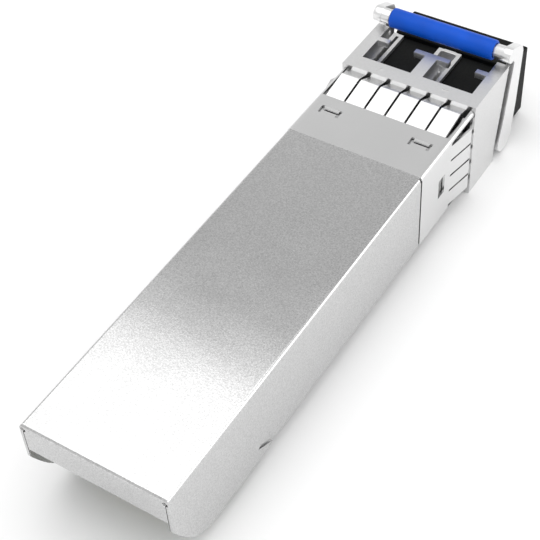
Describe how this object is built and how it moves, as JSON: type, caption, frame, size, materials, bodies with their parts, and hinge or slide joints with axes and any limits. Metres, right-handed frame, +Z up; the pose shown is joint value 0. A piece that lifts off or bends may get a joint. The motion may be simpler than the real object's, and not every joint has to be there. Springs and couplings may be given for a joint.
{
  "type": "optical transceiver module",
  "caption": "Slim pluggable optical transceiver: folded metal cover, spring-fingered shielding collar, duplex port nose, blue-sleeved bail latch and black dust plug.",
  "frame": {"origin": "centre of the module's bounding box at its lowest face, the underside of the nose", "axes": "+Z up through the cover, -Y out of the two optical ports, +Y towards the board's edge connector, +X across the module"},
  "size_m": [0.0144, 0.0608, 0.0125],
  "materials": {
    "cast_metal": "fine cast surface, satin nickel plated",
    "cover_sheet": "satin nickel with a fine grain",
    "collar_sheet": "smooth spring sheet, nickel plated",
    "bail_metal": "smooth bright casting",
    "steel": "plain stainless",
    "blue_grip": "satin moulded sleeve",
    "black_rubber": "matte moulded rubber",
    "board": "solder mask over laminate",
    "gold_contacts": "bright gold plate",
    "ceramic": "ground ceramic",
    "flex_film": "amber film",
    "chip": "moulded black resin",
    "capacitor": "fired ceramic body",
    "gap_pad": "soft heat-conducting pad"
  },
  "bodies": {
    "module": {"base_housing": "cast_metal", "top_cover": "cover_sheet", "emi_collar": "collar_sheet", "nose_receptacle": "cast_metal", "nose_screw_right": "steel", "nose_screw_left": "steel", "slider_spring": "steel", "circuit_board": "board", "can_clamp": "cast_metal", "transmitter_can": "steel", "transmitter_barrel": "steel", "transmitter_sleeve": "ceramic", "transmitter_flex": "flex_film", "receiver_can": "steel", "receiver_barrel": "steel", "receiver_sleeve": "ceramic", "receiver_flex": "flex_film", "laser_driver": "chip", "receive_amplifier": "chip", "controller_chip": "chip", "memory_chip": "chip", "power_inductor_1": "chip", "power_inductor_2": "chip", "thermal_pad": "gap_pad", "capacitor_1": "capacitor", "capacitor_2": "capacitor", "capacitor_3": "capacitor", "capacitor_4": "capacitor", "capacitor_5": "capacitor", "capacitor_6": "capacitor"},
    "bail_lever": {"bail": "bail_metal", "bail_grip": "blue_grip"},
    "slider": {"release_slider": "steel"},
    "plug": {"dust_plug": "black_rubber"}
  },
  "joints": [
    {"name": "bail_pivot", "type": "hinge", "parent": "module", "child": "bail_lever", "pos_m": [0, -0.02423, 0.00175], "axis": [1, 0, 0], "range_deg": [0, 90]},
    {"name": "release_slide", "type": "slide", "parent": "module", "child": "slider", "axis": [0, 1, 0], "range_m": [0, 0.0009], "stiffness_N_per_m": 20, "springref_m": -0.001, "deforming": ["slider_spring"]},
    {"name": "dust_plug_pull", "type": "slide", "parent": "module", "child": "plug", "axis": [0, -1, 0], "range_m": [0, 0.012]}
  ],
  "couplings": [
    {"joint": "bail_pivot", "follows": "release_slide", "rad_per_m": 1745.3}
  ]
}
